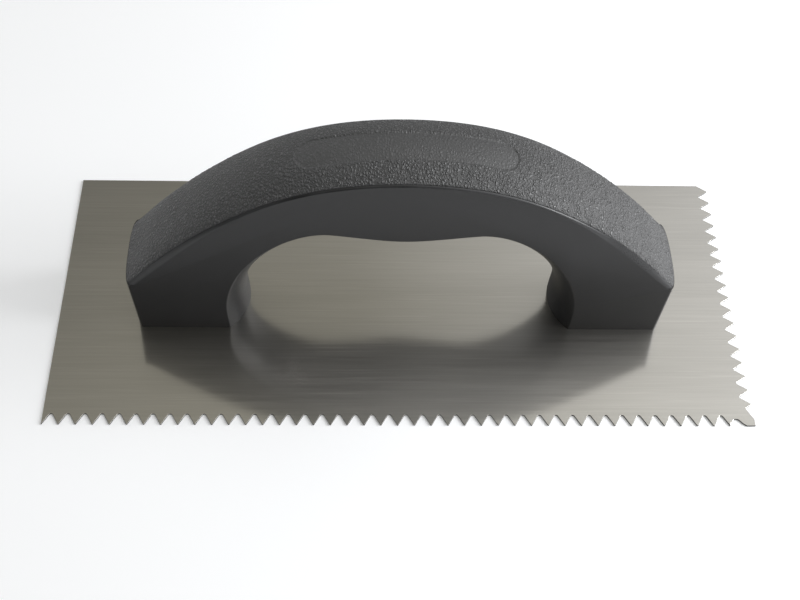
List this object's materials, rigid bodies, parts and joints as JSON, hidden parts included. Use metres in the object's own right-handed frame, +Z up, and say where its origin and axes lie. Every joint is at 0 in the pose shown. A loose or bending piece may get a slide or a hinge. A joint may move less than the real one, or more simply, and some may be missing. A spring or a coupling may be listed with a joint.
{
  "type": "notched trowel",
  "caption": "Hand trowel for spreading adhesive: flat steel blade with V-notches along one long and one short edge, and an arched plastic handle with a textured grip band.",
  "frame": {"origin": "centre of the blade's underside, which is also the bottom centre of the whole tool", "axes": "+X along the blade towards its notched short edge, -Y towards its notched long edge, +Z up from the blade to the handle"},
  "size_m": [0.2286, 0.1022, 0.0759],
  "materials": {
    "blade_steel": "brushed along the blade, satin, with fine scratches",
    "hard_plastic": "smooth satin moulded plastic",
    "soft_grip": "fine leather-like grain, matte",
    "screw_steel": "zinc plated, slightly dull"
  },
  "bodies": {
    "root": {"blade": "blade_steel", "handle_core": "hard_plastic", "grip_cover": "soft_grip", "screw_left_outer": "screw_steel", "screw_left_inner": "screw_steel", "screw_right_outer": "screw_steel", "screw_right_inner": "screw_steel"}
  },
  "joints": []
}
